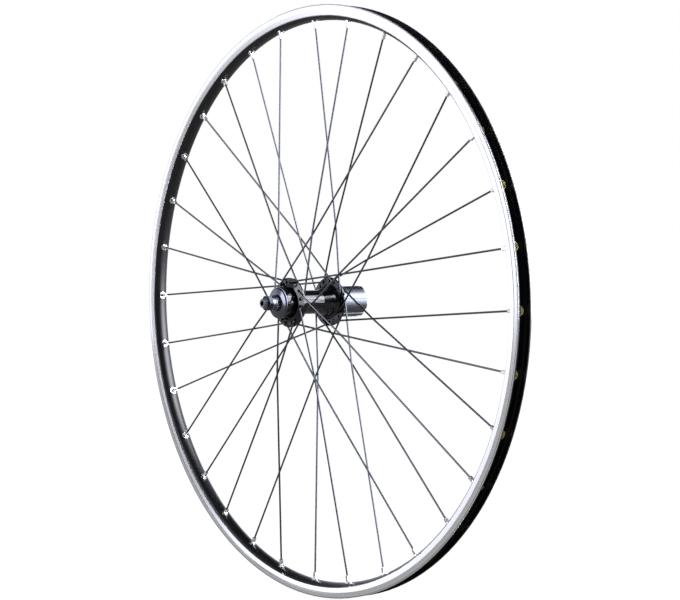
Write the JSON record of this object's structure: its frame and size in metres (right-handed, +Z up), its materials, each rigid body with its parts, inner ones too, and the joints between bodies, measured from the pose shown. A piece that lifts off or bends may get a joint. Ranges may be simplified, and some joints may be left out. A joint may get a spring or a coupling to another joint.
{
  "type": "bicycle wheel",
  "caption": "Spoked rear bicycle wheel: a double-wall rim laced with crossed steel spokes to a flanged hub with a splined freehub and a threaded axle.",
  "frame": {"origin": "centre of the wheel, on the axle's axis midway between the dropout faces", "axes": "+Z up, +Y along the axle towards the plain side, -Y towards the freehub, +X the way the wheel rolls"},
  "size_m": [0.6329, 0.14, 0.633],
  "materials": {
    "black_anodised": "gloss black anodised",
    "brass_ferrule": "satin",
    "bright_steel": "bright",
    "nickel_brass": "nickel plated",
    "freehub_steel": "brushed",
    "bearing_steel": "ground",
    "dark_steel": "zinc plated",
    "seal_rubber": "matt"
  },
  "bodies": {
    "axle_set": {"axle": "dark_steel", "left_cone": "dark_steel", "right_cone": "dark_steel", "left_lock_nut": "dark_steel", "right_lock_nut": "dark_steel", "left_washer": "freehub_steel", "right_washer": "freehub_steel", "left_spacer": "freehub_steel", "left_seal": "seal_rubber", "right_seal": "seal_rubber"},
    "wheel": {"rim": "black_anodised", "rim_ferrules": "brass_ferrule", "rim_eyelets": "bright_steel", "nipples": "nickel_brass", "spoke_left_outer_1": "bright_steel", "spoke_left_outer_2": "bright_steel", "spoke_left_outer_3": "bright_steel", "spoke_left_outer_4": "bright_steel", "spoke_left_outer_5": "bright_steel", "spoke_left_outer_6": "bright_steel", "spoke_left_outer_7": "bright_steel", "spoke_left_outer_8": "bright_steel", "spoke_left_inner_1": "bright_steel", "spoke_left_inner_2": "bright_steel", "spoke_left_inner_3": "bright_steel", "spoke_left_inner_4": "bright_steel", "spoke_left_inner_5": "bright_steel", "spoke_left_inner_6": "bright_steel", "spoke_left_inner_7": "bright_steel", "spoke_left_inner_8": "bright_steel", "spoke_right_outer_1": "bright_steel", "spoke_right_outer_2": "bright_steel", "spoke_right_outer_3": "bright_steel", "spoke_right_outer_4": "bright_steel", "spoke_right_outer_5": "bright_steel", "spoke_right_outer_6": "bright_steel", "spoke_right_outer_7": "bright_steel", "spoke_right_outer_8": "bright_steel", "spoke_right_inner_1": "bright_steel", "spoke_right_inner_2": "bright_steel", "spoke_right_inner_3": "bright_steel", "spoke_right_inner_4": "bright_steel", "spoke_right_inner_5": "bright_steel", "spoke_right_inner_6": "bright_steel", "spoke_right_inner_7": "bright_steel", "spoke_right_inner_8": "bright_steel", "hub_shell": "black_anodised", "left_bearing_cup": "bearing_steel", "left_dust_cap": "bright_steel", "freehub_core": "freehub_steel", "freehub_bolt": "freehub_steel", "right_bearing_cup": "bearing_steel", "pawl_springs": "bearing_steel"},
    "left_ball_row": {"left_balls": "bearing_steel"},
    "right_ball_row": {"right_balls": "bearing_steel"},
    "driver": {"freehub_body": "freehub_steel"},
    "inner_small_balls": {"freehub_inner_balls": "bearing_steel"},
    "outer_small_balls": {"freehub_outer_balls": "bearing_steel"},
    "pawl_a": {"pawl_1": "bearing_steel"},
    "pawl_b": {"pawl_2": "bearing_steel"}
  },
  "joints": [
    {"name": "wheel_spin", "type": "hinge", "parent": "axle_set", "child": "wheel", "pos_m": [0, 0, 0], "axis": [0, 1, 0], "continuous": true},
    {"name": "left_balls_orbit", "type": "hinge", "parent": "axle_set", "child": "left_ball_row", "pos_m": [0, 0.043, 0], "axis": [0, 1, 0], "continuous": true},
    {"name": "right_balls_orbit", "type": "hinge", "parent": "axle_set", "child": "right_ball_row", "pos_m": [0, -0.0526, 0], "axis": [0, 1, 0], "continuous": true},
    {"name": "freewheel", "type": "hinge", "parent": "wheel", "child": "driver", "pos_m": [0, -0.045, 0], "axis": [0, 1, 0], "continuous": true},
    {"name": "inner_small_balls_orbit", "type": "hinge", "parent": "wheel", "child": "inner_small_balls", "pos_m": [0, -0.0292, 0], "axis": [0, 1, 0], "continuous": true},
    {"name": "outer_small_balls_orbit", "type": "hinge", "parent": "wheel", "child": "outer_small_balls", "pos_m": [0, -0.0446, 0], "axis": [0, 1, 0], "continuous": true},
    {"name": "pawl_a_pivot", "type": "hinge", "parent": "wheel", "child": "pawl_a", "pos_m": [0.00866, -0.0373, -0.00629], "axis": [0, 1, 0], "range_deg": [0, 8], "stiffness_Nm_per_rad": 0.02},
    {"name": "pawl_b_pivot", "type": "hinge", "parent": "wheel", "child": "pawl_b", "pos_m": [-0.00866, -0.0373, 0.00629], "axis": [0, 1, 0], "range_deg": [0, 8], "stiffness_Nm_per_rad": 0.02}
  ],
  "couplings": [
    {"joint": "left_balls_orbit", "follows": "wheel_spin", "ratio": 0.617},
    {"joint": "right_balls_orbit", "follows": "wheel_spin", "ratio": 0.617},
    {"joint": "inner_small_balls_orbit", "follows": "freewheel", "ratio": 0.5435},
    {"joint": "outer_small_balls_orbit", "follows": "freewheel", "ratio": 0.5435}
  ]
}
